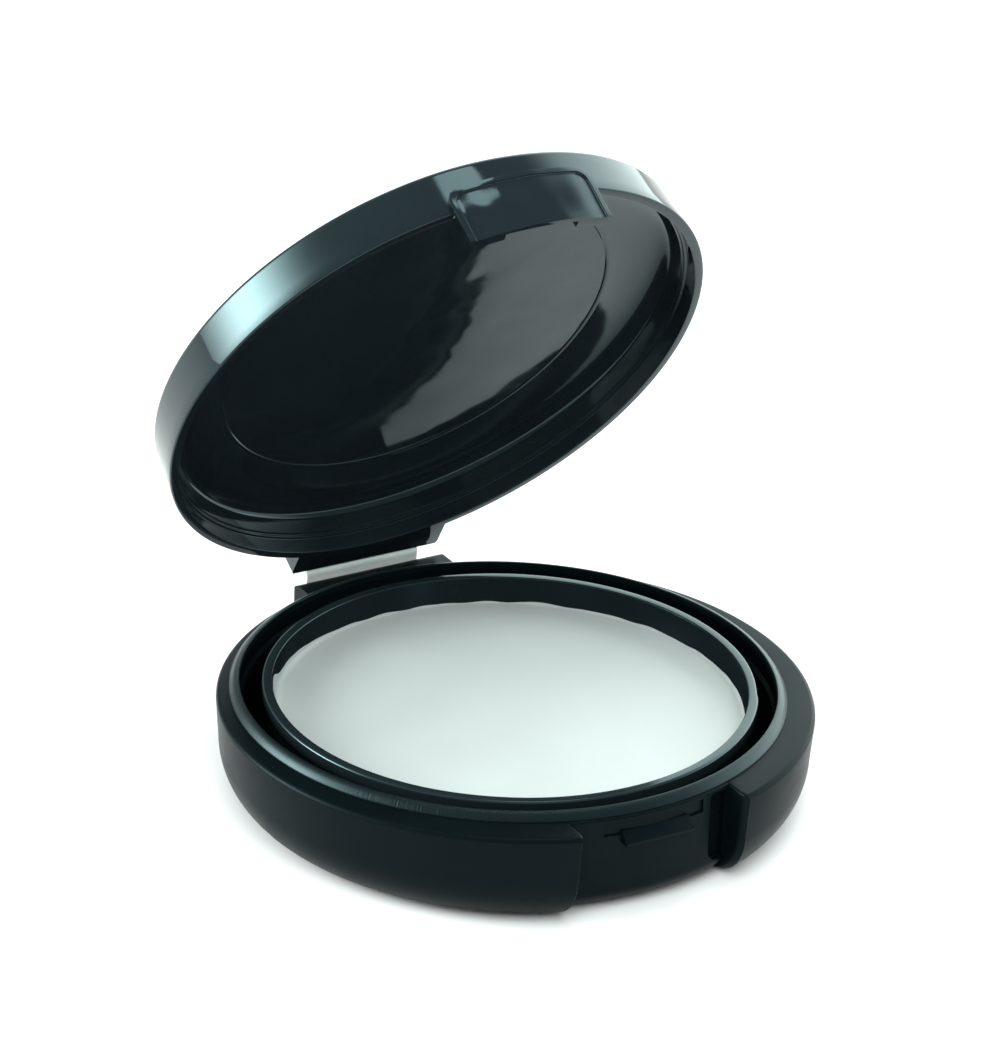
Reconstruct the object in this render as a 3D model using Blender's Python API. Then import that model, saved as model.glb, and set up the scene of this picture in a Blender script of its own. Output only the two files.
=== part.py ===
"""A round wet palette with a hinged lid, as an assembly of separate moulded pieces.

The base holds a drop-in pan, and the pan holds a sponge with a sheet of palette paper on it.
A thin flexible strip joins the lid to the base, and a tab on the lid's front catches a tooth on
the base's.

Frame: +Z up and z = 0 on the table. The Z axis runs through the pan's centre, +Y points to the
hinge and -Y to the latch. Lengths below are millimetres and angles are degrees.
"""

import math

import bmesh
import bpy
from mathutils import Matrix, Vector

MM = 0.001  # metres in a millimetre
TURN_STEPS = 96  # segments around a turned piece
GAP = 0.3  # clearance between two pieces that fit together

# Base body
SHOULDER_Z = 12.0  # flat shoulder that the closed lid stands over
BODY_R = 35.15  # outer wall at the shoulder
BODY_SHIFT = 1.8  # the outer wall's own axis stands this far towards the latch
BODY_WAIST = Vector((34.8, 6.6))  # radius and height where the drafted wall starts to turn under
FOOT_R = 28.9  # flat underside
EDGE_R = 0.6  # rounding of the outer wall's top edge
FLOOR_TOP = 1.3  # inside floor of the base
WELL_WALL = [(29.0, FLOOR_TOP), (30.5, 3.0), (31.05, 4.6), (31.2, 10.0)]
RING_R_OUT = 32.85
RING_R_IN = 31.6
RING_TOP = SHOULDER_Z + 1.0
RING_SLOPE = [(0.0, 0.9), (0.1, 0.62), (0.35, 0.4), (0.75, 0.18), (1.15, 0.0)]  # steps in and down

# Latch: a recess in the base's front, with a tooth that the lid's tab snaps over
RECESS_HALF = 10.5  # half the recess's width
RECESS_R = 33.2  # wall at the back of the recess
RECESS_LOW = Vector((RECESS_R, 3.0))  # radius and height where that wall turns under
RECESS_FOOT_R = 28.5  # radius where that curve reaches the underside
WING_ROUND = 1.3  # rounding of the base's edges beside the recess
SLOT_X = (7.7, 10.2)  # deep slot at the right end of the recess
SLOT_Z = (4.4, SHOULDER_Z - 0.6)
SLOT_R = 32.2  # wall at the back of a slot
RELIEF_X = (-6.55, 6.55)
RELIEF_Z = (SHOULDER_Z - 2.2, SHOULDER_Z - 0.5)
RELIEF_R = 32.9
TOOTH_HALF = 4.5
TOOTH_TOP = SHOULDER_Z - 1.8  # where the tooth's sloping top leaves the wall
TOOTH_LOW = SHOULDER_Z - 3.25
TOOTH_R = 34.2  # how far the tooth reaches

# Drop-in pan, sponge and paper
PAN_RIM_TOP = SHOULDER_Z + 0.8
PAN_RIM_R = (27.95, 29.2)
PAN_SHIFT = (0.1, -0.3)  # the pan lies a little off centre in its well
PAN_BOTTOM = FLOOR_TOP + GAP
PAN_FLOOR = PAN_BOTTOM + 1.0
PAN_WALL_R = (27.45, 28.6)  # inside and outside of the wall, just above its rounded foot
SPONGE_R = 26.9
SPONGE_TOP = 8.8
PAPER_R = 27.4
PAPER_T = 0.3
PAPER_LOW = SPONGE_TOP + GAP

# Hinge: the strip bends about the axis, and a bead along each of its edges sits in a flange
AXIS_Y = 36.85
AXIS_Z = SHOULDER_Z + 0.41
OPEN_ANGLE = 59.8  # how far the lid stands open
HINGE_X = {"base_flange": 0.95, "lid_flange": 0.8, "strip": 0.55}  # how far each stands off centre
FLANGE_HALF = 10.2
FLANGE_Y = 36.95  # how far a flange reaches at its full width
FLANGE_ROUND = 1.2
FLANGE_BACK_HALF = 8.8  # half-width of the narrower wall behind the strip
FLANGE_BACK_Y = 38.1
BACK_ROUND = 0.6
STRIP_HALF = 7.75
STRIP_T = 0.5
STRIP_GAP = 0.2  # clearance on each face of the strip
STRIP_END = 0.35  # distance from the axis to where a leaf begins
BEAD_R = 0.55
BEAD_DROP = 4.3  # distance from the axis to a bead's centre

# Lid, as it stands when closed
RIM_Z = SHOULDER_Z + 0.25  # rim of the closed lid
LID_R = 34.39
LID_WAIST = Vector((33.97, RIM_Z + 5.6))  # radius and height where the drafted wall turns over
CROWN_R = 27.1
CROWN_Z = RIM_Z + 7.7
CROWN_RISE = 0.15
BORE_R = 33.2  # counterbore that drops over the base's ring
BORE_STEPS = [(32.95, RIM_Z + 2.1), (32.7, RIM_Z + 2.5)]
ROOF_EDGE = Vector((32.5, RIM_Z + 4.3))  # radius and height where the inside wall meets the roof
ROOF_R = 24.8
ROOF_Z = RIM_Z + 6.75
ROOF_STEP = 0.12  # depth of the shallow round panel in the roof

# Latch tab, moulded in one with the lid
TAB_HALF = 9.35
TAB_TOP = RIM_Z + 2.5
TAB_LOW = RIM_Z - 4.8
TAB_R = 35.45  # outer face
TAB_ROUND = 1.9
TAB_BORDER = 0.65
TAB_DISH = 0.3
TAB_FOOT_X = (4.6, 9.1)
TAB_FOOT_R = 33.55
TAB_WEB_R = 34.5  # inner face between the feet
TAB_LIP_R = 34.3
TAB_LIP_Z = (RIM_Z - 4.6, RIM_Z - 3.7)


def clear_scene():
    for old in list(bpy.data.objects):
        bpy.data.objects.remove(old)


def material(name, colour, roughness, metallic=0.0, alpha=1.0):
    made = bpy.data.materials.new(name)
    made.use_nodes = True
    shader = made.node_tree.nodes["Principled BSDF"]
    shader.inputs["Base Color"].default_value = (*colour, 1.0)
    shader.inputs["Roughness"].default_value = roughness
    shader.inputs["Metallic"].default_value = metallic
    shader.inputs["Alpha"].default_value = alpha
    return made


def finished(name, bm):
    """Turns a bmesh in millimetres into an object in metres with its faces pointing out."""
    bmesh.ops.recalc_face_normals(bm, faces=bm.faces)
    bmesh.ops.scale(bm, vec=(MM, MM, MM), verts=bm.verts)
    mesh = bpy.data.meshes.new(name)
    bm.to_mesh(mesh)
    bm.free()
    made = bpy.data.objects.new(name, mesh)
    bpy.context.scene.collection.objects.link(made)
    return made


def arc(centre, radii, start, stop, count):
    """Points of an elliptical arc, with angles in degrees measured from the first axis."""
    points = []
    for index in range(count + 1):
        angle = math.radians(start + (stop - start) * index / count)
        points.append((centre[0] + radii[0] * math.cos(angle), centre[1] + radii[1] * math.sin(angle)))
    return points


def turned(name, profile, centre=(0.0, 0.0)):
    """A closed (radius, height) outline that starts and ends on the axis, turned around it."""
    bm = bmesh.new()
    points = [bm.verts.new((radius, 0.0, height)) for radius, height in profile]
    edges = [bm.edges.new(pair) for pair in zip(points, points[1:])]
    bmesh.ops.spin(
        bm,
        geom=points + edges,
        axis=(0.0, 0.0, 1.0),
        cent=(0.0, 0.0, 0.0),
        angle=math.tau,
        steps=TURN_STEPS,
        use_merge=True,
    )
    bmesh.ops.remove_doubles(bm, verts=bm.verts, dist=0.001)
    bmesh.ops.translate(bm, verts=bm.verts, vec=(centre[0], centre[1], 0.0))
    return finished(name, bm)


def prism(name, outline, span, axes):
    """An outline extruded over span. axes says where the outline's two axes and the span's go."""
    bm = bmesh.new()
    points = []
    for first, second in outline:
        place = Vector()
        place[axes[0]] = first
        place[axes[1]] = second
        place[axes[2]] = span[0]
        points.append(bm.verts.new(place))
    face = bm.faces.new(points)
    moved = bmesh.ops.extrude_face_region(bm, geom=[face])["geom"]
    step = Vector()
    step[axes[2]] = span[1] - span[0]
    bmesh.ops.translate(bm, verts=[v for v in moved if isinstance(v, bmesh.types.BMVert)], vec=step)
    return finished(name, bm)


def along_x(name, outline, span):
    """A prism whose outline is (y, z)."""
    return prism(name, outline, span, (1, 2, 0))


def along_y(name, outline, span):
    """A prism whose outline is (x, z)."""
    return prism(name, outline, span, (0, 2, 1))


def along_z(name, outline, span):
    """A prism whose outline is (x, y)."""
    return prism(name, outline, span, (0, 1, 2))


def cylinder_shell(name, radii, heights):
    """A plain tube on the Z axis."""
    low, high = heights
    inner, outer = radii
    outline = [(inner, low), (outer, low), (outer, high), (inner, high), (inner, low)]
    return turned(name, outline)


def combine(target, tool, operation):
    """Applies one exact Boolean to target and discards the tool."""
    modifier = target.modifiers.new("combine", "BOOLEAN")
    modifier.operation = operation
    modifier.solver = "EXACT"
    modifier.object = tool
    bpy.context.view_layer.update()
    graph = bpy.context.evaluated_depsgraph_get()
    mesh = bpy.data.meshes.new_from_object(target.evaluated_get(graph))
    target.modifiers.clear()
    mesh.name = target.name
    target.data = mesh
    bpy.data.objects.remove(tool)
    return target


def join(target, tool):
    return combine(target, tool, "UNION")


def cut(target, tool):
    return combine(target, tool, "DIFFERENCE")


def shade(piece, finish):
    """Smooth shading with crisp edges, and the piece's material."""
    piece.data.materials.clear()
    piece.data.materials.append(finish)
    piece.data.shade_smooth()
    piece.data.set_sharp_from_angle(angle=math.radians(32))
    return piece


def rounded_rectangle(half_width, low, high, radius, both_ends):
    """Outline in (across, along) with rounded corners at the high end, or at both."""
    right = [(half_width, low)]
    if both_ends:
        right = arc((half_width - radius, low + radius), (radius, radius), -90, 0, 4)
    right += arc((half_width - radius, high - radius), (radius, radius), 0, 90, 4)
    return right + [(-across, along) for across, along in reversed(right)]


def under_curve(waist, foot_r, count, floor_z=0.0):
    """The quarter ellipse from the flat foot up to the waist of a turned wall."""
    radii = (waist[0] - foot_r, waist[1] - floor_z)
    return arc((foot_r, waist[1]), radii, -90, 0, count)


def base_blank():
    """The solid outline of the base, on its own axis, before anything is cut into it."""
    shoulder = arc((BODY_R - EDGE_R, SHOULDER_Z - EDGE_R), (EDGE_R, EDGE_R), 0, 90, 4)
    profile = [(0.0, 0.0)] + under_curve(BODY_WAIST, FOOT_R, 8) + shoulder + [(0.0, SHOULDER_Z)]
    return turned("base_shell", profile, (0.0, -BODY_SHIFT))


def ring_blank():
    """The ring around the well, highest at its inner edge and sloping down to its outside."""
    edge = [(RING_R_OUT - inward, RING_TOP - down) for inward, down in RING_SLOPE]
    profile = [(0.0, SHOULDER_Z - 1.0), (RING_R_OUT, SHOULDER_Z - 1.0)] + edge + [(0.0, RING_TOP)]
    return turned("ring", profile)


def well_cutter():
    """Room for the pan, with the wall stepping out under the ring and sloping in at the floor."""
    mouth = [(RING_R_IN, 10.4), (RING_R_IN, RING_TOP - 0.1), (RING_R_IN + 0.1, RING_TOP)]
    over = [(RING_R_IN + 0.1, RING_TOP + 1.0), (0.0, RING_TOP + 1.0)]
    return turned("well", [(0.0, FLOOR_TOP)] + WELL_WALL + mouth + over)


def body_radius(height):
    """The outer wall's radius at a height, from the same curve as base_blank."""
    if height >= BODY_WAIST[1]:
        share = (height - BODY_WAIST[1]) / (SHOULDER_Z - BODY_WAIST[1])
        return BODY_WAIST[0] + (BODY_R - BODY_WAIST[0]) * min(share, 1.0)
    drop = (BODY_WAIST[1] - max(height, 0.0)) / BODY_WAIST[1]
    return FOOT_R + (BODY_WAIST[0] - FOOT_R) * math.sqrt(1.0 - drop**2)


def recess_plan(height):
    """The recess seen from above at one height: its sides flare out where they meet the wall."""
    edge_y = -BODY_SHIFT - math.sqrt(body_radius(height) ** 2 - RECESS_HALF**2)
    flare = arc((RECESS_HALF + WING_ROUND, edge_y + WING_ROUND), (WING_ROUND, WING_ROUND), 180, 262, 5)
    right = [(RECESS_HALF, -26.0)] + flare + [(RECESS_HALF + WING_ROUND, -41.0)]
    return right + [(-x, y) for x, y in reversed(right)]


def stacked(name, layers):
    """A closed solid through outlines that have equally many points. Each layer is (height, outline)."""
    bm = bmesh.new()
    rows = [[bm.verts.new((x, y, height)) for x, y in outline] for height, outline in layers]
    for low, high in zip(rows, rows[1:]):
        for index in range(len(low)):
            after = (index + 1) % len(low)
            bm.faces.new((low[index], low[after], high[after], high[index]))
    bm.faces.new(rows[0])
    bm.faces.new(rows[-1])
    return finished(name, bm)


def recess_cutter():
    """The space of the latch recess, outside the round wall behind it."""
    heights = [-1.0] + [BODY_WAIST[1] * share for share in (0.02, 0.1, 0.2, 0.35, 0.55, 0.78, 1.0)]
    heights += [SHOULDER_Z, SHOULDER_Z + 0.5]
    space = stacked("recess", [(height, recess_plan(height)) for height in heights])
    under = under_curve(RECESS_LOW, RECESS_FOOT_R, 6, -0.05)
    core = [(0.0, -2.0), (RECESS_FOOT_R, -2.0)] + under + [(RECESS_R, SHOULDER_Z + 2.0)]
    return cut(space, turned("core", core + [(0.0, SHOULDER_Z + 2.0)]))


def slot_cutter():
    """The deep slot between the recess's wall and the right wing of the base."""
    low, high = SLOT_Z
    inner, outer = SLOT_X
    sweep = arc((outer, low), (outer - inner, low - 2.4), 180, 270, 5)
    outline = [(inner, high)] + sweep + [(outer, high)]
    slot = along_y("slot", outline, (-RECESS_R - 0.6, -25.0))
    return cut(slot, cylinder_shell("slot_back", (20.0, SLOT_R), (0.0, SHOULDER_Z + 1.0)))


def relief_cutter():
    low, high = RELIEF_Z
    outline = [(RELIEF_X[0], low), (RELIEF_X[1], low), (RELIEF_X[1], high), (RELIEF_X[0], high)]
    space = along_y("relief", outline, (-RECESS_R - 1.0, -25.0))
    return cut(space, cylinder_shell("relief_back", (20.0, RELIEF_R), (0.0, SHOULDER_Z + 1.0)))


def tooth():
    """The wedge that the lid's tab snaps over, sloping so that the tab rides down it."""
    section = [
        (-RECESS_R + 1.2, TOOTH_TOP),
        (-RELIEF_R, TOOTH_TOP),
        (-TOOTH_R, TOOTH_TOP - 1.0),
        (-TOOTH_R, TOOTH_LOW + 0.1),
        (-TOOTH_R + 0.1, TOOTH_LOW),
        (-RECESS_R + 1.2, TOOTH_LOW),
    ]
    return along_x("tooth", section, (-TOOTH_HALF, TOOTH_HALF))


def flange(name, section, inner_y):
    """A hinge flange: its side section, cut to a plan with rounded corners and a narrower back."""
    corner = (FLANGE_HALF - FLANGE_ROUND, FLANGE_Y - FLANGE_ROUND)
    right = [(FLANGE_HALF, inner_y)] + arc(corner, (FLANGE_ROUND, FLANGE_ROUND), 0, 90, 4)
    right += [(FLANGE_BACK_HALF, FLANGE_Y)]
    back = (FLANGE_BACK_HALF - BACK_ROUND, FLANGE_BACK_Y - BACK_ROUND)
    right += arc(back, (BACK_ROUND, BACK_ROUND), 0, 90, 3)
    shift = HINGE_X[name]
    plan = [(x + shift, y) for x, y in right] + [(shift - x, y) for x, y in reversed(right)]
    body = along_x(name, section, (shift - FLANGE_HALF - 1.0, shift + FLANGE_HALF + 1.0))
    return combine(body, along_z("plan", plan, (-5.0, 40.0)), "INTERSECT")


def bead_slot(direction):
    """The slot for one leaf of the strip: a narrow mouth over a round channel for the bead."""
    mouth = STRIP_T / 2 + STRIP_GAP
    half = STRIP_HALF + GAP
    channel_z = AXIS_Z + direction * BEAD_DROP
    far_z = AXIS_Z - direction * 2.0
    outline = [
        (AXIS_Y - mouth, channel_z),
        (AXIS_Y + mouth, channel_z),
        (AXIS_Y + mouth, far_z),
        (AXIS_Y - mouth, far_z),
    ]
    low, high = HINGE_X["strip"] - half, HINGE_X["strip"] + half
    slot = along_x("slot", outline, (low, high))
    channel = arc((AXIS_Y, channel_z), (BEAD_R + 0.25, BEAD_R + 0.25), 0, 337.5, 15)
    return join(slot, along_x("channel", channel, (low - 0.01, high + 0.01)))


def base_flange():
    nose = arc((34.7, SHOULDER_Z - 2.1), (1.85, 1.85), 90, 28, 4)
    back = [(FLANGE_BACK_Y - 0.3, SHOULDER_Z - 2.5), (FLANGE_BACK_Y, SHOULDER_Z - 2.9)]
    under = [(FLANGE_BACK_Y, SHOULDER_Z - 5.4), (35.6, SHOULDER_Z - 8.2), (30.0, SHOULDER_Z - 8.4)]
    section = [(30.0, SHOULDER_Z - 0.25)] + nose + [(AXIS_Y + 0.45, SHOULDER_Z - 2.3)] + back + under
    return flange("base_flange", section, 29.0)


def lid_flange():
    back = [(AXIS_Y + 0.45, RIM_Z + 1.7), (FLANGE_BACK_Y, RIM_Z + 2.3)]
    over = [(FLANGE_BACK_Y, RIM_Z + 4.9), (36.6, RIM_Z + 6.0), (31.0, RIM_Z + 6.2)]
    section = [(31.0, RIM_Z), (AXIS_Y - 0.42, RIM_Z), (AXIS_Y - 0.3, RIM_Z + 0.15)] + back + over
    return flange("lid_flange", section, 29.0)


def base_shell(finish):
    shell = join(base_blank(), ring_blank())
    join(shell, base_flange())
    cut(shell, recess_cutter())
    cut(shell, slot_cutter())
    cut(shell, relief_cutter())
    join(shell, tooth())
    cut(shell, bead_slot(-1))
    cut(shell, well_cutter())
    return shade(shell, finish)


def inner_pan(finish):
    inside, outside = PAN_WALL_R
    rim_in, rim_out = PAN_RIM_R
    profile = [(0.0, PAN_BOTTOM)]
    profile += arc((outside - 1.1, PAN_BOTTOM + 1.1), (1.1, 1.1), -90, 0, 3)
    profile += [(rim_out - 0.4, PAN_RIM_TOP - 1.8), (rim_out, PAN_RIM_TOP - 1.3)]
    profile += arc((rim_out - 0.3, PAN_RIM_TOP - 0.3), (0.3, 0.3), 0, 90, 3)
    profile += [(rim_in + 0.12, PAN_RIM_TOP), (rim_in, PAN_RIM_TOP - 0.12)]
    profile += arc((inside - 0.7, PAN_FLOOR + 0.7), (0.7, 0.7), 0, -90, 3)
    profile += [(0.0, PAN_FLOOR)]
    return shade(turned("inner_pan", profile, PAN_SHIFT), finish)


def sponge(finish):
    low = PAN_FLOOR + GAP
    edge = arc((SPONGE_R - 0.5, SPONGE_TOP - 0.5), (0.5, 0.5), 0, 90, 2)
    foot = [(0.0, low), (SPONGE_R - 1.0, low), (SPONGE_R - 0.3, low + 0.6)]
    return shade(turned("sponge", foot + edge + [(0.0, SPONGE_TOP)], PAN_SHIFT), finish)


def palette_paper(finish):
    high = PAPER_LOW + PAPER_T
    profile = [(0.0, PAPER_LOW), (PAPER_R, PAPER_LOW), (PAPER_R, high), (0.0, high)]
    return shade(turned("palette_paper", profile, PAN_SHIFT), finish)


def lid_blank():
    rim = arc((LID_R - 0.2, RIM_Z + 0.2), (0.2, 0.2), -90, 0, 2)
    radii = (LID_WAIST[0] - CROWN_R, CROWN_Z - LID_WAIST[1])
    shoulder = arc((CROWN_R, LID_WAIST[1]), radii, 0, 90, 8)
    middle = [(CROWN_R * 0.55, CROWN_Z + CROWN_RISE * 0.7), (0.0, CROWN_Z + CROWN_RISE)]
    return turned("lid_shell", [(0.0, RIM_Z)] + rim + shoulder + middle)


def lid_cavity():
    """The hollow inside the lid: the counterbore, two small steps, the wall and the roof."""
    mouth = [(0.0, RIM_Z - 1.0), (BORE_R, RIM_Z - 1.0), (BORE_R, BORE_STEPS[0][1])]
    steps = [BORE_STEPS[0], (BORE_STEPS[0][0], BORE_STEPS[1][1]), BORE_STEPS[1]]
    radii = (ROOF_EDGE[0] - ROOF_R, ROOF_Z - ROOF_EDGE[1])
    roof = arc((ROOF_R, ROOF_EDGE[1]), radii, 0, 90, 6)
    panel = [(ROOF_R - 0.15, ROOF_Z + ROOF_STEP), (0.0, ROOF_Z + ROOF_STEP)]
    return turned("cavity", mouth + steps + roof + panel)


def tab_plate(radii, heights, half):
    """Part of the tab: a curved plate between two radii, as wide as half says on each side."""
    outline = [(half[0], heights[0]), (half[1], heights[0]), (half[1], heights[1]), (half[0], heights[1])]
    plate = along_y("plate", outline, (-40.0, -25.0))
    return combine(plate, cylinder_shell("band", radii, (0.0, 40.0)), "INTERSECT")


def tab():
    """The latch tab: a dished plate with two thick feet, and a lip that clears the tooth."""
    outline = rounded_rectangle(TAB_HALF, TAB_LOW, TAB_TOP, TAB_ROUND, False)
    plate = along_y("tab", outline, (-40.0, -25.0))
    combine(plate, cylinder_shell("band", (TAB_WEB_R, TAB_R), (0.0, 40.0)), "INTERSECT")
    inner = rounded_rectangle(
        TAB_HALF - TAB_BORDER, TAB_LOW - 1.0, TAB_TOP - TAB_BORDER, TAB_ROUND - TAB_BORDER, False
    )
    dish = along_y("dish", inner, (-41.0, -25.0))
    cut(dish, cylinder_shell("dish_back", (20.0, TAB_R - TAB_DISH), (0.0, 40.0)))
    cut(plate, dish)
    inner_x, outer_x = TAB_FOOT_X
    for side in (-1, 1):
        span = (side * inner_x, side * outer_x)
        foot = (TAB_FOOT_R, TAB_R - TAB_DISH - 0.2)
        join(plate, tab_plate(foot, (TAB_LOW, RIM_Z + 0.6), (min(span), max(span))))
    lip = (TAB_LIP_R, TAB_R - TAB_DISH - 0.2)
    join(plate, tab_plate(lip, TAB_LIP_Z, (-TOOTH_HALF + 0.4, TOOTH_HALF - 0.4)))
    neck = (LID_R - 1.1, TAB_R - TAB_DISH - 0.1)
    return join(plate, tab_plate(neck, (RIM_Z, TAB_TOP - 1.0), (-TAB_HALF + 0.6, TAB_HALF - 0.6)))


def lid_shell(finish):
    shell = join(lid_blank(), lid_flange())
    cut(shell, bead_slot(1))
    join(shell, tab())
    cut(shell, lid_cavity())
    return shade(shell, finish)


def strip_leaf(name, direction, finish):
    """Half of the hinge strip: a thin leaf that starts at the axis and ends in its bead."""
    half_t = STRIP_T / 2
    start = AXIS_Z + direction * (STRIP_END + half_t)
    bead_z = AXIS_Z + direction * BEAD_DROP
    end = arc((AXIS_Y, start), (half_t, half_t), -direction * 180, 0, 4)
    outline = end + [(AXIS_Y + half_t, bead_z), (AXIS_Y - half_t, bead_z)]
    low, high = HINGE_X["strip"] - STRIP_HALF, HINGE_X["strip"] + STRIP_HALF
    leaf = along_x(name, outline, (low, high))
    bead = arc((AXIS_Y, bead_z), (BEAD_R, BEAD_R), 0, 337.5, 15)
    join(leaf, along_x("bead", bead, (low - 0.01, high + 0.01)))
    return shade(leaf, finish)


def hinge_empty():
    """An empty on the hinge's axis. Turning it by a negative angle about X opens the lid."""
    empty = bpy.data.objects.new("lid_hinge_axis", None)
    empty.location = (0.0, AXIS_Y * MM, AXIS_Z * MM)
    empty.rotation_euler = (-math.radians(OPEN_ANGLE), 0.0, 0.0)
    bpy.context.scene.collection.objects.link(empty)
    return empty


def hang_on(piece, empty):
    """Moves a piece modelled in its closed place onto the empty, with its origin on the axis."""
    piece.data.transform(Matrix.Translation(-empty.location))
    piece.parent = empty
    return piece


def build():
    clear_scene()
    satin = material("satin_black", (0.018, 0.024, 0.026), 0.42)
    gloss = material("gloss_black", (0.008, 0.011, 0.012), 0.12)
    pan_gloss = material("pan_black", (0.010, 0.013, 0.014), 0.2)
    foam = material("damp_sponge", (0.62, 0.68, 0.66), 0.6)
    paper = material("palette_paper", (0.72, 0.78, 0.76), 0.35)
    flexible = material("flexible_strip", (0.55, 0.64, 0.64), 0.45)
    base_shell(satin)
    inner_pan(pan_gloss)
    sponge(foam)
    palette_paper(paper)
    strip_leaf("hinge_strip_base_leaf", -1, flexible)
    hinge = hinge_empty()
    hang_on(lid_shell(gloss), hinge)
    hang_on(strip_leaf("hinge_strip_lid_leaf", 1, flexible), hinge)


build()
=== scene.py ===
"""The wet palette's looks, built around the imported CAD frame.

Every CAD node is stood for by a finer mesh in the same place: the base and the lid with their
edges rounded, the pan, the sponge, the sheet of palette paper with its curled edge, and the
hinge strip as one flexible piece.

Frame: +Z up and z = 0 on the table, +Y to the hinge and -Y to the latch. Lengths below are
millimetres and angles are degrees, and meshes are scaled to metres as they are made.
"""

import math

import bmesh
import bpy
from mathutils import Matrix, Vector, noise


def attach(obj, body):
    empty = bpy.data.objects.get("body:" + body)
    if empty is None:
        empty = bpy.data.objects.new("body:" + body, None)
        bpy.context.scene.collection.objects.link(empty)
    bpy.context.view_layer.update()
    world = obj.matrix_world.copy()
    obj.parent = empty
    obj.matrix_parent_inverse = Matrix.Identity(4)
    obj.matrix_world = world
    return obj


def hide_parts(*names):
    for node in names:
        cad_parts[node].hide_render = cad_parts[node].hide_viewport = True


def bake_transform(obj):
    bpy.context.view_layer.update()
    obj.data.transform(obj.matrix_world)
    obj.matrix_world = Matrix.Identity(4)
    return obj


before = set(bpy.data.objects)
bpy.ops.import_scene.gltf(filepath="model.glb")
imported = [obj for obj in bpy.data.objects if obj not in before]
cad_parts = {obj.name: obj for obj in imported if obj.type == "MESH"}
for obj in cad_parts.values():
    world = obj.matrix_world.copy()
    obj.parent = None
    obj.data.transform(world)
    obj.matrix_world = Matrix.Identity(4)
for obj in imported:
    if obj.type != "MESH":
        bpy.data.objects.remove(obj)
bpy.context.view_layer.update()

MM = 0.001
TURN_STEPS = 240  # segments around a turned piece

# Dimensions that the CAD shares
SHOULDER_Z = 12.0
BODY_R = 35.15
BODY_SHIFT = 1.8
BODY_WAIST = (34.8, 6.6)
FOOT_R = 28.9
EDGE_R = 0.6
FLOOR_TOP = 1.3
WELL_WALL = [(29.0, FLOOR_TOP), (30.5, 3.0), (31.05, 4.6), (31.2, 10.0)]
RING_R_OUT = 32.85
RING_R_IN = 31.6
RING_TOP = SHOULDER_Z + 1.0
RECESS_HALF = 10.5
RECESS_R = 33.2
RECESS_LOW = (RECESS_R, 3.0)
RECESS_FOOT_R = 28.5
WING_ROUND = 1.3
SLOT_X = (7.7, 10.2)
SLOT_Z = (4.4, SHOULDER_Z - 0.6)
SLOT_R = 32.2
RELIEF_HALF = 6.55
RELIEF_Z = (SHOULDER_Z - 2.2, SHOULDER_Z - 0.5)
RELIEF_R = 32.9
TOOTH_HALF = 4.5
TOOTH_TOP = SHOULDER_Z - 1.8
TOOTH_LOW = SHOULDER_Z - 3.25
TOOTH_R = 34.2
PAN_RIM_TOP = SHOULDER_Z + 0.8
PAN_RIM_R = (27.95, 29.2)
PAN_SHIFT = (0.1, -0.3)
PAN_BOTTOM = 1.6
PAN_FLOOR = 2.6
PAN_WALL_R = (27.45, 28.6)
SPONGE_R = 26.9
SPONGE_TOP = 8.8
PAPER_R = 27.4
PAPER_TOP = 9.4
AXIS_Y = 36.85
AXIS_Z = SHOULDER_Z + 0.41
OPEN_ANGLE = 59.8
BASE_FLANGE_X = 0.95
LID_FLANGE_X = 0.8
STRIP_X = 0.55
FLANGE_HALF = 10.2
FLANGE_Y = 36.95
FLANGE_ROUND = 1.2
FLANGE_BACK_HALF = 8.8
FLANGE_BACK_Y = 38.1
BACK_ROUND = 0.6
STRIP_HALF = 7.75
STRIP_T = 0.5
BEAD_R = 0.55
BEAD_DROP = 4.3
RIM_Z = SHOULDER_Z + 0.25
LID_R = 34.39
LID_WAIST = (33.97, RIM_Z + 5.6)
CROWN_R = 27.1
CROWN_Z = RIM_Z + 7.7
CROWN_RISE = 0.15
BORE_R = 33.2
ROOF_EDGE = (32.5, RIM_Z + 4.3)
ROOF_R = 24.8
ROOF_Z = RIM_Z + 6.75
ROOF_STEP = 0.12
TAB_HALF = 9.35
TAB_TOP = RIM_Z + 2.5
TAB_LOW = RIM_Z - 4.8
TAB_R = 35.45
TAB_ROUND = 1.9
TAB_BORDER = 0.65
TAB_DISH = 0.3
TAB_FOOT_X = (4.6, 9.1)
TAB_FOOT_R = 33.55
TAB_WEB_R = 34.5
TAB_LIP_R = 34.3
TAB_LIP_Z = (RIM_Z - 4.6, RIM_Z - 3.7)

# Studio: radiance by direction. A pair of cosines says at what angle a card starts and is full.
LIGHT_TINT = (0.86, 1.0, 0.975)
AMBIENT = 0.44
LEFT_GLOW = {"azimuth": 146.0, "elevation": 19.0, "spread": 10.5, "radiance": 29.0}
TOP_CARD = {"azimuth": 40.0, "elevation": 75.0, "edge": (0.991, 0.9945), "radiance": 6.0}
BACK_CARD = {"azimuth": 18.0, "sides": (0.42, 0.9), "top": (0.81, 0.6), "radiance": 3.6}

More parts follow.
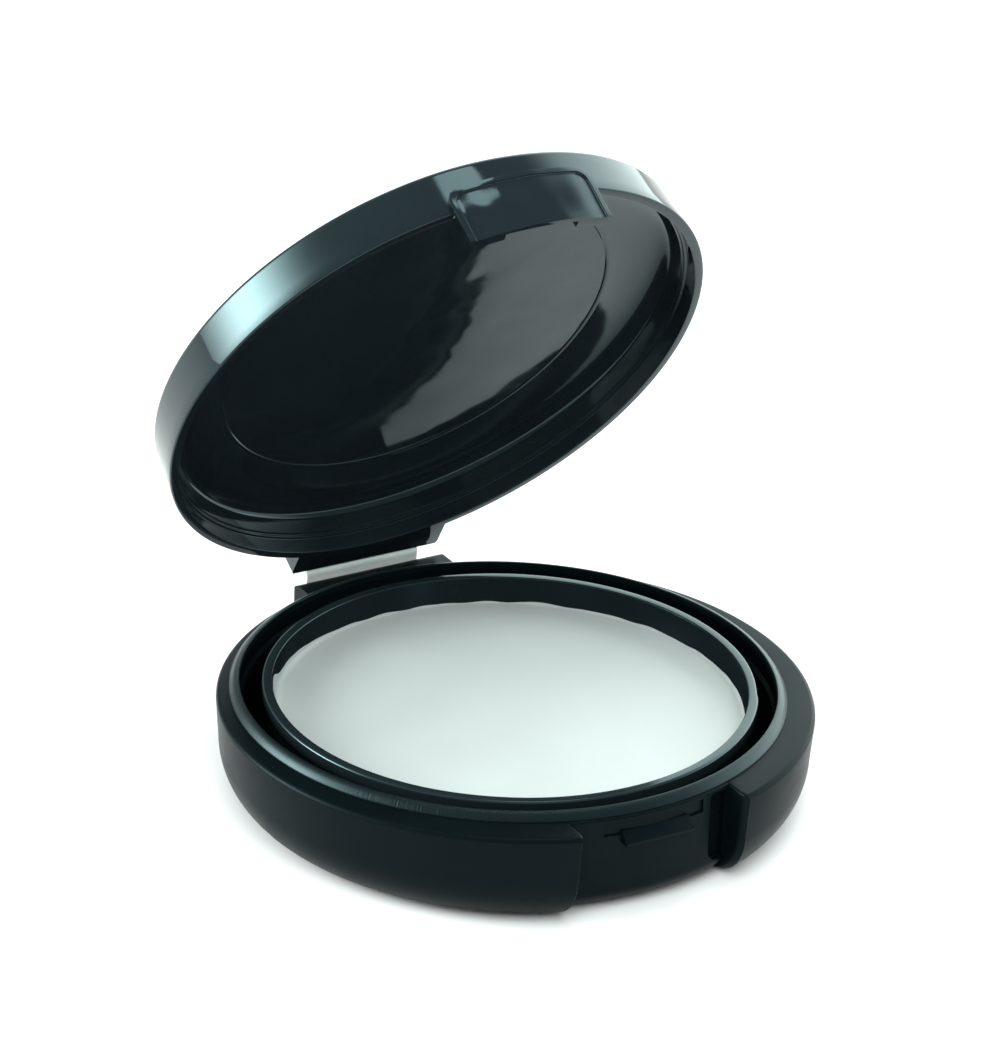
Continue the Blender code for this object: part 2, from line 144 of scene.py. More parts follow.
# Finer shape that only the looks have
SOFT_EDGE = 0.12  # rounding of the tooth's and the lid flange's edges
LID_FLANGE_IN = 0.45  # how far outside the bore the lid's flange begins, inside the lid's wall
TAB_SOFT = 0.3
DISH_SOFT = 0.2
TOP_FILLET = 0.35  # rounding where the recess meets the shoulder
PAPER_T = 0.2
STRIP_BEND = 1.1  # half the length over which the strip bends
ROOF_RISE = 0.55  # doming of the lid's roof
ROOF_WAVES = ((0.035, 0.17), (0.012, 0.42))  # height and frequency of the roof's unevenness
WALL_WAVE = 0.05  # unevenness of the lid's wall beside the tab
TAB_WAVE = 0.14  # unevenness of the tab's moulded face
RIM_NICK = (0.14, -33.0, 24.0)  # depth, azimuth and reach of the step in the pan's rim
TOOL_MARKS = (-2.75, -2.55, -2.0, -1.8)  # azimuths in radians: start, full, start to fade, end


# ---------------------------------------------------------------- mesh tools


def finished(name, bm):
    """A bmesh in millimetres as an object in metres, with its faces pointing out."""
    bmesh.ops.recalc_face_normals(bm, faces=bm.faces)
    bmesh.ops.scale(bm, vec=(MM, MM, MM), verts=bm.verts)
    mesh = bpy.data.meshes.new(name)
    bm.to_mesh(mesh)
    bm.free()
    made = bpy.data.objects.new(name, mesh)
    bpy.context.scene.collection.objects.link(made)
    return made


def arc(centre, radii, start, stop, count):
    points = []
    for index in range(count + 1):
        angle = math.radians(start + (stop - start) * index / count)
        x = centre[0] + radii[0] * math.cos(angle)
        points.append((x, centre[1] + radii[1] * math.sin(angle)))
    return points


def curve(ends, handles, count):
    """Points of a cubic curve between two ends, bent by two handles."""
    points = []
    for index in range(count + 1):
        t = index / count
        weights = ((1 - t) ** 3, 3 * t * (1 - t) ** 2, 3 * t * t * (1 - t), t**3)
        controls = (ends[0], handles[0], handles[1], ends[1])
        points.append(tuple(sum(w * p[k] for w, p in zip(weights, controls)) for k in (0, 1)))
    return points


def spaced(start, stop, count):
    """Points on a straight stretch, without its last one."""
    return [
        (start[0] + (stop[0] - start[0]) * i / count, start[1] + (stop[1] - start[1]) * i / count)
        for i in range(count)
    ]


def turned(name, profile, centre=(0.0, 0.0), warp=None):
    """A (radius, height) outline turned about Z. It is closed by the axis or by its own first point.

    warp(azimuth, radius, height) moves a point, and returns its new radius and height.
    """
    bm = bmesh.new()
    ring_of = []
    for radius, height in profile:
        if radius < 1e-9:
            ring_of.append([bm.verts.new((centre[0], centre[1], height))])
            continue
        ring = []
        for step in range(TURN_STEPS):
            azimuth = math.tau * step / TURN_STEPS
            r, z = warp(azimuth, radius, height) if warp else (radius, height)
            x = centre[0] + r * math.cos(azimuth)
            y = centre[1] + r * math.sin(azimuth)
            ring.append(bm.verts.new((x, y, z)))
        ring_of.append(ring)
    on_axis = profile[0][0] < 1e-9
    followed = zip(ring_of, ring_of[1:] if on_axis else ring_of[1:] + ring_of[:1])
    for low, high in followed:
        for step in range(TURN_STEPS):
            after = (step + 1) % TURN_STEPS
            if len(low) == 1:
                bm.faces.new((low[0], high[after], high[step]))
            elif len(high) == 1:
                bm.faces.new((low[step], low[after], high[0]))
            else:
                bm.faces.new((low[step], low[after], high[after], high[step]))
    return finished(name, bm)


def stacked(name, layers):
    """A closed solid through outlines with equally many points. Each layer is (height, outline)."""
    bm = bmesh.new()
    rows = [[bm.verts.new((x, y, height)) for x, y in outline] for height, outline in layers]
    for low, high in zip(rows, rows[1:]):
        for index in range(len(low)):
            after = (index + 1) % len(low)
            bm.faces.new((low[index], low[after], high[after], high[index]))
    bm.faces.new(rows[0])
    bm.faces.new(rows[-1])
    return finished(name, bm)


def prism(name, outline, span, axes):
    """An outline extruded over span. axes says where the outline's two axes and the span's go."""
    bm = bmesh.new()
    points = []
    for first, second in outline:
        place = Vector()
        place[axes[0]] = first
        place[axes[1]] = second
        place[axes[2]] = span[0]
        points.append(bm.verts.new(place))
    face = bm.faces.new(points)
    moved = bmesh.ops.extrude_face_region(bm, geom=[face])["geom"]
    step = Vector()
    step[axes[2]] = span[1] - span[0]
    bmesh.ops.translate(bm, verts=[v for v in moved if isinstance(v, bmesh.types.BMVert)], vec=step)
    return finished(name, bm)


def along_x(name, outline, span):
    return prism(name, outline, span, (1, 2, 0))


def along_y(name, outline, span):
    return prism(name, outline, span, (0, 2, 1))


def along_z(name, outline, span):
    return prism(name, outline, span, (0, 1, 2))


def tube(name, radii, heights):
    low, high = heights
    inner, outer = radii
    return turned(name, [(inner, low), (outer, low), (outer, high), (inner, high)])


def settle(piece):
    """Applies the piece's modifiers to its mesh."""
    bpy.context.view_layer.update()
    graph = bpy.context.evaluated_depsgraph_get()
    mesh = bpy.data.meshes.new_from_object(piece.evaluated_get(graph))
    piece.modifiers.clear()
    mesh.name = piece.name
    piece.data = mesh
    return piece


def combine(target, tool, operation):
    modifier = target.modifiers.new("combine", "BOOLEAN")
    modifier.operation = operation
    modifier.solver = "EXACT"
    modifier.object = tool
    settle(target)
    bpy.data.objects.remove(tool)
    return target


def join(target, tool):
    return combine(target, tool, "UNION")


def cut(target, tool):
    return combine(target, tool, "DIFFERENCE")


def soften(piece, width, segments=4):
    """Rounds the piece's sharp edges."""
    modifier = piece.modifiers.new("soften", "BEVEL")
    modifier.width = width * MM
    modifier.segments = segments
    modifier.limit_method = "ANGLE"
    modifier.angle_limit = math.radians(40)
    return settle(piece)


def shade(piece, finish, angle=34):
    piece.data.materials.clear()
    piece.data.materials.append(finish)
    piece.data.shade_smooth()
    piece.data.set_sharp_from_angle(angle=math.radians(angle))
    return piece


def rounded_rectangle(half_width, low, high, radius, count=8):
    """Outline in (across, along) with rounded corners at the high end."""
    right = [(half_width, low)]
    right += arc((half_width - radius, high - radius), (radius, radius), 0, 90, count)
    return right + [(-across, along) for across, along in reversed(right)]


def quarter_curve(waist, foot_r, floor_z, count):
    return arc((foot_r, waist[1]), (waist[0] - foot_r, waist[1] - floor_z), -90, 0, count)


# ---------------------------------------------------------------- base


def body_radius(height):
    """The outer wall's radius at a height."""
    if height >= BODY_WAIST[1]:
        share = (height - BODY_WAIST[1]) / (SHOULDER_Z - BODY_WAIST[1])
        return BODY_WAIST[0] + (BODY_R - BODY_WAIST[0]) * min(share, 1.0)
    drop = (BODY_WAIST[1] - max(height, 0.0)) / BODY_WAIST[1]
    return FOOT_R + (BODY_WAIST[0] - FOOT_R) * math.sqrt(1.0 - drop**2)


def base_body():
    shoulder = arc((BODY_R - EDGE_R, SHOULDER_Z - EDGE_R), (EDGE_R, EDGE_R), 0, 90, 8)
    profile = [(0.0, 0.0)] + quarter_curve(BODY_WAIST, FOOT_R, 0.0, 24) + shoulder + [(0.0, SHOULDER_Z)]
    return turned("base", profile, (0.0, -BODY_SHIFT))


def base_ring():
    """The ring around the well: a sloping top that is highest at its inner edge."""
    ends = ((RING_R_OUT, RING_TOP - 0.92), (RING_R_IN + 0.2, RING_TOP))
    handles = ((RING_R_OUT - 0.25, RING_TOP - 0.6), (RING_R_OUT - 0.5, RING_TOP - 0.14))
    slope = curve(ends, handles, 10)
    profile = [(0.0, SHOULDER_Z - 1.0), (RING_R_OUT, SHOULDER_Z - 1.0)] + slope + [(0.0, RING_TOP)]
    return turned("ring", profile)


def well():
    mouth = [(RING_R_IN, 10.4)] + arc((RING_R_IN + 0.14, RING_TOP - 0.14), (0.14, 0.14), 180, 110, 4)
    over = [(RING_R_IN + 0.25, RING_TOP + 0.3), (0.0, RING_TOP + 0.3)]
    return turned("well", [(0.0, FLOOR_TOP)] + WELL_WALL + mouth + over)


def recess_plan(height):
    """The recess seen from above at one height, flared where its sides meet the outer wall."""
    lift = max(0.0, min(TOP_FILLET, height - (SHOULDER_Z - TOP_FILLET)))
    grown = RECESS_HALF + TOP_FILLET - math.sqrt(TOP_FILLET**2 - lift**2)
    edge_y = -BODY_SHIFT - math.sqrt(body_radius(height) ** 2 - grown**2)
    flare = arc((grown + WING_ROUND, edge_y + WING_ROUND), (WING_ROUND, WING_ROUND), 180, 264, 10)
    right = [(grown, -26.0)] + flare + [(grown + WING_ROUND, -41.0)]
    return right + [(-x, y) for x, y in reversed(right)]


def recess():
    heights = [-1.0] + [BODY_WAIST[1] * (1 - math.cos(math.radians(a))) for a in range(6, 91, 7)]
    heights += [BODY_WAIST[1] + 2.0, SHOULDER_Z - TOP_FILLET - 0.2]
    heights += [SHOULDER_Z - TOP_FILLET * (1 - math.sin(math.radians(a))) for a in range(0, 91, 15)]
    heights += [SHOULDER_Z + 0.5]
    space = stacked("recess", [(height, recess_plan(height)) for height in heights])
    under = quarter_curve(RECESS_LOW, RECESS_FOOT_R, -0.05, 16)
    top = arc((RECESS_R - 0.28, SHOULDER_Z - 0.28), (0.28, 0.28), 0, 85, 5)
    core = [(0.0, -2.0), (RECESS_FOOT_R, -2.0)] + under + top + [(RECESS_R - 0.28, SHOULDER_Z + 2.0)]
    return cut(space, turned("core", core + [(0.0, SHOULDER_Z + 2.0)]))


def latch_slot():
    low, high = SLOT_Z
    inner, outer = SLOT_X
    sweep = arc((outer, low), (outer - inner, low - 2.4), 180, 270, 10)
    outline = [(inner, high)] + sweep + [(outer, high)]
    slot = along_y("slot", outline, (-RECESS_R - 0.6, -25.0))
    return cut(slot, tube("slot_back", (20.0, SLOT_R), (0.0, SHOULDER_Z + 1.0)))


def relief():
    low, high = RELIEF_Z
    outline = [(-RELIEF_HALF, low), (RELIEF_HALF, low), (RELIEF_HALF, high), (-RELIEF_HALF, high)]
    space = along_y("relief", outline, (-RECESS_R - 1.0, -25.0))
    return cut(space, tube("relief_back", (20.0, RELIEF_R), (0.0, SHOULDER_Z + 1.0)))


def tooth():
    section = [
        (-RECESS_R + 1.2, TOOTH_TOP),
        (-RELIEF_R, TOOTH_TOP),
        (-TOOTH_R, TOOTH_TOP - 1.0),
        (-TOOTH_R, TOOTH_LOW),
        (-RECESS_R + 1.2, TOOTH_LOW),
    ]
    return soften(along_x("tooth", section, (-TOOTH_HALF, TOOTH_HALF)), SOFT_EDGE)


def flange(name, section, middle_x, inner_y):
    """A hinge flange: its side section, cut to a plan with rounded corners and a narrower back."""
    corner = (FLANGE_HALF - FLANGE_ROUND, FLANGE_Y - FLANGE_ROUND)
    right = [(FLANGE_HALF, inner_y)] + arc(corner, (FLANGE_ROUND, FLANGE_ROUND), 0, 90, 8)
    right += [(FLANGE_BACK_HALF, FLANGE_Y)]
    back = (FLANGE_BACK_HALF - BACK_ROUND, FLANGE_BACK_Y - BACK_ROUND)
    right += arc(back, (BACK_ROUND, BACK_ROUND), 0, 90, 5)
    plan = [(middle_x + x, y) for x, y in right] + [(middle_x - x, y) for x, y in reversed(right)]
    reach = FLANGE_HALF + 1.0
    body = along_x(name, section, (middle_x - reach, middle_x + reach))
    return combine(body, along_z("plan", plan, (-5.0, 40.0)), "INTERSECT")


def bead_slot(direction):
    """The slot for one end of the strip: a narrow mouth over a round channel for the bead."""
    mouth = STRIP_T / 2 + 0.2
    channel_z = AXIS_Z + direction * BEAD_DROP
    far_z = AXIS_Z - direction * 2.0
    outline = [
        (AXIS_Y - mouth, channel_z),
        (AXIS_Y + mouth, channel_z),
        (AXIS_Y + mouth, far_z),
        (AXIS_Y - mouth, far_z),
    ]
    low, high = STRIP_X - STRIP_HALF - 0.3, STRIP_X + STRIP_HALF + 0.3
    slot = along_x("slot", outline, (low, high))
    channel = arc((AXIS_Y, channel_z), (BEAD_R + 0.25, BEAD_R + 0.25), 0, 345, 23)
    return join(slot, along_x("channel", channel, (low - 0.01, high + 0.01)))


def base_flange():
    nose = arc((34.7, SHOULDER_Z - 2.1), (1.85, 1.85), 90, 28, 10)
    back = [(FLANGE_BACK_Y - 0.3, SHOULDER_Z - 2.5), (FLANGE_BACK_Y, SHOULDER_Z - 2.9)]
    under = [(FLANGE_BACK_Y, SHOULDER_Z - 5.4), (35.6, SHOULDER_Z - 8.2), (30.0, SHOULDER_Z - 8.4)]
    section = [(30.0, SHOULDER_Z - 0.25)] + nose + [(AXIS_Y + 0.45, SHOULDER_Z - 2.3)] + back + under
    return flange("base_flange", section, BASE_FLANGE_X, 29.0)


def base(finish):
    shell = join(base_body(), base_ring())
    join(shell, base_flange())
    cut(shell, recess())
    cut(shell, latch_slot())
    cut(shell, relief())
    join(shell, tooth())
    cut(shell, bead_slot(-1))
    cut(shell, well())
    return shade(shell, finish)


# ---------------------------------------------------------------- pan, sponge and paper


def wrapped(angle):
    """An angle brought to between -180 and 180 degrees."""
    return (angle + 180.0) % 360.0 - 180.0


def bump_at(angle, middle, width):
    """1 at the middle azimuth, falling smoothly to 0 at width degrees from it."""
    away = abs(wrapped(angle - middle)) / width
    return 0.0 if away >= 1 else (1 - away * away) ** 2


def pan_warp(azimuth, radius, height):
    """A small step in the rim's outer edge, and a trace of unevenness in the rim."""
    angle = math.degrees(azimuth)
    if radius > PAN_WALL_R[1] + 0.2 and height > PAN_RIM_TOP - 1.0:
        depth, middle, reach = RIM_NICK
        step = max(0.0, min(1.0, wrapped(angle - middle) + 0.5))
        radius -= depth * step * bump_at(angle, middle, reach)
    if height > PAN_RIM_TOP - 1.0:
        height += 0.03 * noise.noise(Vector((math.cos(azimuth) * 2.2, math.sin(azimuth) * 2.2, 4.0)))
    return radius, height


def pan(finish):
    inside, outside = PAN_WALL_R
    rim_in, rim_out = PAN_RIM_R
    profile = [(0.0, PAN_BOTTOM)]
    profile += arc((outside - 1.1, PAN_BOTTOM + 1.1), (1.1, 1.1), -90, 0, 8)
    profile += curve(
        ((outside + 0.1, PAN_RIM_TOP - 2.6), (rim_out, PAN_RIM_TOP - 1.2)),
        ((outside + 0.12, PAN_RIM_TOP - 1.8), (rim_out, PAN_RIM_TOP - 1.9)),
        6,
    )
    profile += arc((rim_out - 0.3, PAN_RIM_TOP - 0.3), (0.3, 0.3), 0, 90, 8)
    profile += arc((rim_in + 0.18, PAN_RIM_TOP - 0.18), (0.18, 0.18), 90, 180, 6)
    profile += arc((inside - 0.7, PAN_FLOOR + 0.7), (0.7, 0.7), 0, -90, 6)
    profile += [(0.0, PAN_FLOOR)]
    return shade(turned("pan", profile, PAN_SHIFT, pan_warp), finish)


def sponge(finish):
    """A slab of foam with soft shoulders and a gently crowned top."""
    low = PAN_FLOOR + 0.3
    profile = [(0.0, low)]
    profile += arc((SPONGE_R - 0.8, low + 0.8), (0.8, 0.8), -90, 0, 6)
    profile += arc((SPONGE_R - 1.0, SPONGE_TOP - 1.0), (1.0, 1.0), 0, 90, 8)
    profile += [(radius, SPONGE_TOP + 0.05) for radius in range(24, 0, -2)] + [(0.0, SPONGE_TOP + 0.05)]

    def uneven(azimuth, radius, height):
        place = Vector((radius * math.cos(azimuth), radius * math.sin(azimuth), height)) * 0.4
        drop = 0.08 * abs(noise.noise(place + Vector((9, 0, 0))))
        return radius - 0.12 * abs(noise.noise(place)), height - drop

    return shade(turned("damp_sponge", profile, PAN_SHIFT, uneven), finish)


def paper_climb(angle):
    """How far the paper's edge climbs the pan's wall at an azimuth: a wavy edge with one high lip."""
    turn = math.radians(angle)
    ripple = 0.06 * math.sin(math.radians(angle * 23)) * (0.5 + 0.5 * math.sin(math.radians(angle * 3 + 40)))
    ripple += 0.2 * noise.noise(Vector((math.cos(turn) * 9, math.sin(turn) * 9, 1.0)))
    slope = 0.75 * bump_at(angle, 143.0, 46.0)
    lip = 2.0 * bump_at(angle, 151.0, 13.5)
    return 0.2 + ripple + slope + lip


def palette_paper(finish):
    """The sheet of paper: flat on the sponge, its edge curling up the pan's wall."""
    rim_slope = (PAN_RIM_R[0] - PAN_WALL_R[0]) / (PAN_RIM_TOP - PAN_FLOOR)
    flat_rings = [PAPER_R * index / 26 for index in range(26)]
    curl_steps = 10

    def place(azimuth, ring, low):
        angle = math.degrees(azimuth)
        climb = paper_climb(angle)
        width = 0.4 + 0.35 * climb
        wall = PAN_WALL_R[0] + rim_slope * (PAPER_TOP + climb - PAN_FLOOR) - 0.06
        if ring < len(flat_rings):
            radius = flat_rings[ring] * (wall - width) / flat_rings[-1]
            height = PAPER_TOP
        else:
            turn = math.radians(90 * (ring - len(flat_rings) + 1) / curl_steps)
            radius = wall - width + width * math.sin(turn)
            height = PAPER_TOP + climb * (1 - math.cos(turn))
            if low:
                radius -= PAPER_T * 0.3 * math.sin(turn)
        spot = Vector((radius * math.cos(azimuth), radius * math.sin(azimuth), 0.0))
        height += 0.035 * noise.noise(spot * 0.11) + 0.012 * noise.noise(spot * 0.5 + Vector((3, 1, 0)))
        if low:
            height -= PAPER_T
        return (PAN_SHIFT[0] + radius * math.cos(azimuth), PAN_SHIFT[1] + radius * math.sin(azimuth), height)

    bm = bmesh.new()
    count = 360
    rings = len(flat_rings) + curl_steps
    sides = []
    for low in (False, True):
        rows = [[bm.verts.new(place(0.0, 0, low))]]
        for ring in range(1, rings):
            rows.append([bm.verts.new(place(math.tau * s / count, ring, low)) for s in range(count)])
        for inner, outer in zip(rows, rows[1:]):
            for step in range(count):
                after = (step + 1) % count
                if len(inner) == 1:
                    bm.faces.new((inner[0], outer[step], outer[after]))
                else:
                    bm.faces.new((inner[step], outer[step], outer[after], inner[after]))
        sides.append(rows[-1])
    for step in range(count):
        after = (step + 1) % count
        bm.faces.new((sides[0][step], sides[1][step], sides[1][after], sides[0][after]))
    return shade(finished("palette_sheet", bm), finish, 60)


# ---------------------------------------------------------------- lid


def opened(piece):
    """Turns a lid piece from its closed place to where the lid stands open."""
    axis = Vector((0.0, AXIS_Y * MM, AXIS_Z * MM))
    turn = Matrix.Rotation(-math.radians(OPEN_ANGLE), 4, "X")
    piece.data.transform(Matrix.Translation(axis) @ turn @ Matrix.Translation(-axis))
    return piece


def lid_warp(azimuth, radius, height):
    """Faint sink marks: in the roof on its inside, and in the outer wall beside the tab."""
    inside = height > ROOF_EDGE[1] and radius < ROOF_R - 0.5 and height < CROWN_Z - 0.1
    if inside:
        spot = Vector((radius * math.cos(azimuth), radius * math.sin(azimuth), 0.0))
        height += sum(size * noise.noise(spot * frequency) for size, frequency in ROOF_WAVES)
    elif height > RIM_Z + 0.4 and radius > max(CROWN_R + 1.0, BORE_R + (RIM_Z + 3.0 - height) * 0.1):
        spot = Vector((radius * azimuth * 0.13, 0.0, height * 0.4))
        radius -= WALL_WAVE * (noise.noise(spot) + 0.9) * bump_at(math.degrees(azimuth), -100.0, 48.0)
    return radius, height


def lid_body():
    """The lid's turned shell: rim, drafted wall, rounded crown, and the stepped hollow inside."""
    profile = [(0.0, CROWN_Z + CROWN_RISE)]
    for radius in range(3, 27, 3):
        profile.append((float(radius), CROWN_Z + CROWN_RISE * (1 - (radius / CROWN_R) ** 2)))
    profile += arc((CROWN_R, LID_WAIST[1]), (LID_WAIST[0] - CROWN_R, CROWN_Z - LID_WAIST[1]), 90, 0, 26)
    profile += spaced(LID_WAIST, (LID_R, RIM_Z + 0.22), 4)[1:]
    profile += arc((LID_R - 0.22, RIM_Z + 0.22), (0.22, 0.22), 0, -90, 6)
    profile += arc((BORE_R + 0.15, RIM_Z + 0.15), (0.15, 0.15), -90, -180, 4)
    profile += arc((BORE_R - 0.16, RIM_Z + 1.94), (0.16, 0.16), 0, 80, 4)
    profile += arc((32.99, RIM_Z + 2.24), (0.12, 0.12), 262, 190, 3)
    profile += arc((32.78, RIM_Z + 2.4), (0.1, 0.1), 10, 85, 3) + [(32.66, RIM_Z + 2.62), ROOF_EDGE]
    profile += arc((ROOF_R, ROOF_EDGE[1]), (ROOF_EDGE[0] - ROOF_R, ROOF_Z - ROOF_EDGE[1]), 6, 90, 22)
    profile += [(ROOF_R - 0.05, ROOF_Z + 0.03), (ROOF_R - 0.16, ROOF_Z + ROOF_STEP)]
    for radius in range(24, -1, -1):
        rise = ROOF_RISE * (1 - (radius / ROOF_R) ** 2)
        profile.append((float(radius), ROOF_Z + ROOF_STEP + rise))
    return turned("lid", profile, warp=lid_warp)


def lid_flange():
    back = [(AXIS_Y + 0.45, RIM_Z + 1.7), (FLANGE_BACK_Y, RIM_Z + 2.3)]
    over = [(FLANGE_BACK_Y, RIM_Z + 4.9), (36.6, RIM_Z + 6.0), (31.0, RIM_Z + 6.2)]
    section = [(31.0, RIM_Z), (AXIS_Y - 0.42, RIM_Z), (AXIS_Y - 0.3, RIM_Z + 0.15)] + back + over
    made = flange("lid_flange", section, LID_FLANGE_X, 29.0)
    inside = (BORE_R + LID_FLANGE_IN, 40.0)
    outline = [(0.0, 0.0), (inside[0], 0.0), inside, (0.0, inside[1])]
    return cut(soften(made, SOFT_EDGE), turned("bore", outline))


def block(name, across, heights, depths):
    """A box by its spans along the rim, up and outward."""
    (left, right), (low, high) = across, heights
    return along_y(name, [(left, low), (right, low), (right, high), (left, high)], depths)


def sliced(bm, axis, places):
    """Cuts a mesh across one axis at each place, so that it can bend there."""
    for place in places:
        everything = bm.verts[:] + bm.edges[:] + bm.faces[:]
        point = Vector()
        point[axis] = place * MM
        normal = Vector()
        normal[axis] = 1.0
        bmesh.ops.bisect_plane(bm, geom=everything, plane_co=point, plane_no=normal)


def tab():
    """The latch tab, modelled flat as (along the rim, outward, up) and then bent round the lid."""
    inner_face = TAB_R - TAB_DISH - 0.2
    plate = along_y("tab", rounded_rectangle(TAB_HALF, TAB_LOW, TAB_TOP, TAB_ROUND), (TAB_WEB_R, TAB_R))
    foot_inner = TAB_FOOT_X[0] * TAB_R / TAB_FOOT_R  # bending brings it in to TAB_FOOT_X
    for side in (-1, 1):
        span = sorted((side * foot_inner, side * TAB_FOOT_X[1]))
        join(plate, block("foot", span, (TAB_LOW, RIM_Z + 0.6), (TAB_FOOT_R, inner_face)))
    lip_half = TOOTH_HALF - 0.4
    join(plate, block("lip", (-lip_half, lip_half), TAB_LIP_Z, (TAB_LIP_R, inner_face)))
    soften(plate, TAB_SOFT, 5)

    top, corner = TAB_TOP - TAB_BORDER, TAB_ROUND - TAB_BORDER
    outline = rounded_rectangle(TAB_HALF - TAB_BORDER, TAB_LOW - 1.0, top, corner)
    cut(plate, soften(along_y("dish", outline, (TAB_R - TAB_DISH, TAB_R + 2.0)), DISH_SOFT))
    neck_half = TAB_HALF - 0.5
    neck = (RIM_Z + 0.02, TAB_TOP - 0.6)
    join(plate, block("neck", (-neck_half, neck_half), neck, (LID_R - 0.75, TAB_R - TAB_DISH - 0.15)))

    bm = bmesh.new()
    bm.from_mesh(plate.data)
    sliced(bm, 0, [step * 0.5 for step in range(-19, 20)])
    sliced(bm, 2, [RIM_Z + step * 0.5 for step in range(-8, 5)])
    for vert in bm.verts:
        if vert.co.y > (TAB_R - TAB_DISH - 0.06) * MM:
            spot = Vector((vert.co.x / MM * 0.3, 0.0, vert.co.z / MM * 0.22))
            vert.co.y += TAB_WAVE * MM * (noise.noise(spot) - 0.9)
        turn = vert.co.x / (TAB_R * MM)
        vert.co = Vector((vert.co.y * math.sin(turn), -vert.co.y * math.cos(turn), vert.co.z))
    bmesh.ops.recalc_face_normals(bm, faces=bm.faces)
    bm.to_mesh(plate.data)
    bm.free()
    return plate


def lid(finish):
    shell = join(lid_body(), lid_flange())
    cut(shell, bead_slot(1))
    join(shell, tab())
    return opened(shade(shell, finish))


# ---------------------------------------------------------------- hinge strip


def hinge_strip(finish):
    """One flexible strip with a bead along each end, bent about the hinge's axis."""
    half_t = STRIP_T / 2
    rows = []
    bead_span = [BEAD_R * math.cos(math.radians(a)) for a in range(30, 181, 15)]
    places = [-BEAD_DROP - x for x in reversed(bead_span)] + [
        -BEAD_DROP + BEAD_R + (2 * (BEAD_DROP - BEAD_R)) * i / 40 for i in range(41)
    ]
    places = sorted(places + [BEAD_DROP + x for x in bead_span])
    for along in places:
        past = abs(along) - BEAD_DROP
        bead = math.sqrt(max(BEAD_R**2 - past**2, 0.0)) if abs(past) < BEAD_R else 0.0
        beyond = past > 0
        thick = max(bead, 0.02) if beyond else max(bead, half_t)
        rows.append((along, thick))
    bm = bmesh.new()
    columns = 24
    grid = {}
    for index, (along, thick) in enumerate(rows):
        for side in (-1, 1):
            for column in range(columns + 1):
                x = STRIP_X - STRIP_HALF + 2 * STRIP_HALF * column / columns
                grid[index, side, column] = bm.verts.new((x, AXIS_Y + side * thick, AXIS_Z + along))
    for index in range(len(rows) - 1):
        for column in range(columns):
            for side in (-1, 1):
                bm.faces.new([
                    grid[index, side, column],
                    grid[index, side, column + 1],
                    grid[index + 1, side, column + 1],
                    grid[index + 1, side, column],
                ])
        for column in (0, columns):
            bm.faces.new([
                grid[index, -1, column],
                grid[index, 1, column],
                grid[index + 1, 1, column],
                grid[index + 1, -1, column],
            ])
    for index in (0, len(rows) - 1):
        for column in range(columns):
            bm.faces.new([
                grid[index, -1, column],
                grid[index, -1, column + 1],
                grid[index, 1, column + 1],
                grid[index, 1, column],
            ])
    for vert in bm.verts:
        share = max(0.0, min(1.0, (vert.co.z - AXIS_Z + STRIP_BEND) / (2 * STRIP_BEND)))
        share = share * share * (3 - 2 * share)
        turn = -math.radians(OPEN_ANGLE) * share
        y, z = vert.co.y - AXIS_Y, vert.co.z - AXIS_Z
        vert.co.y = AXIS_Y + y * math.cos(turn) - z * math.sin(turn)
        vert.co.z = AXIS_Z + y * math.sin(turn) + z * math.cos(turn)
    return shade(finished("hinge_strip", bm), finish, 50)


# ---------------------------------------------------------------- materials


class Nodes:
    """A material's node tree, with short calls to add to it."""

    def __init__(self, name):
        self.material = bpy.data.materials.new(name)
        self.material.use_nodes = True
        self.tree = self.material.node_tree
        self.shader = self.tree.nodes["Principled BSDF"]
        self.place = self.add("ShaderNodeTexCoord").outputs["Object"]

    def add(self, kind, **settings):
        node = self.tree.nodes.new(kind)
        for name, value in settings.items():
            setattr(node, name, value)
        return node

    def link(self, source, target):
        self.tree.links.new(source, target)

    def set(self, **values):
        for name, value in values.items():
            self.shader.inputs[name.replace("_", " ")].default_value = value

    def noise(self, scale, detail=3.0, roughness=0.5, place=None):
        node = self.add("ShaderNodeTexNoise")
        node.inputs["Scale"].default_value = scale
        node.inputs["Detail"].default_value = detail
        node.inputs["Roughness"].default_value = roughness
        self.link(place or self.place, node.inputs["Vector"])
        return node.outputs["Fac"]

    def ramp(self, source, stops):
        node = self.add("ShaderNodeValToRGB")
        elements = node.color_ramp.elements
        while len(elements) < len(stops):
            elements.new(0.5)
        for element, (position, colour) in zip(elements, stops):
            element.position = position
            element.color = colour if len(colour) == 4 else (*colour, 1.0)
        self.link(source, node.inputs["Fac"])
        return node.outputs["Color"]

    def span(self, source, low, high, to_low, to_high):
        node = self.add("ShaderNodeMapRange")
        for name, value in (("From Min", low), ("From Max", high), ("To Min", to_low), ("To Max", to_high)):
            node.inputs[name].default_value = value
        self.link(source, node.inputs["Value"])
        return node.outputs["Result"]

    def maths(self, operation, first, second):
        node = self.add("ShaderNodeMath", operation=operation)
        for socket, value in zip(node.inputs, (first, second)):
            if isinstance(value, (int, float)):
                socket.default_value = value
            else:
                self.link(value, socket)
        return node.outputs["Value"]

    def bump(self, height, strength, distance, under=None):
        node = self.add("ShaderNodeBump")
        node.inputs["Strength"].default_value = strength
        node.inputs["Distance"].default_value = distance
        self.link(height, node.inputs["Height"])
        if under is not None:
            self.link(under, node.inputs["Normal"])
        self.link(node.outputs["Normal"], self.shader.inputs["Normal"])
        return node.outputs["Normal"]


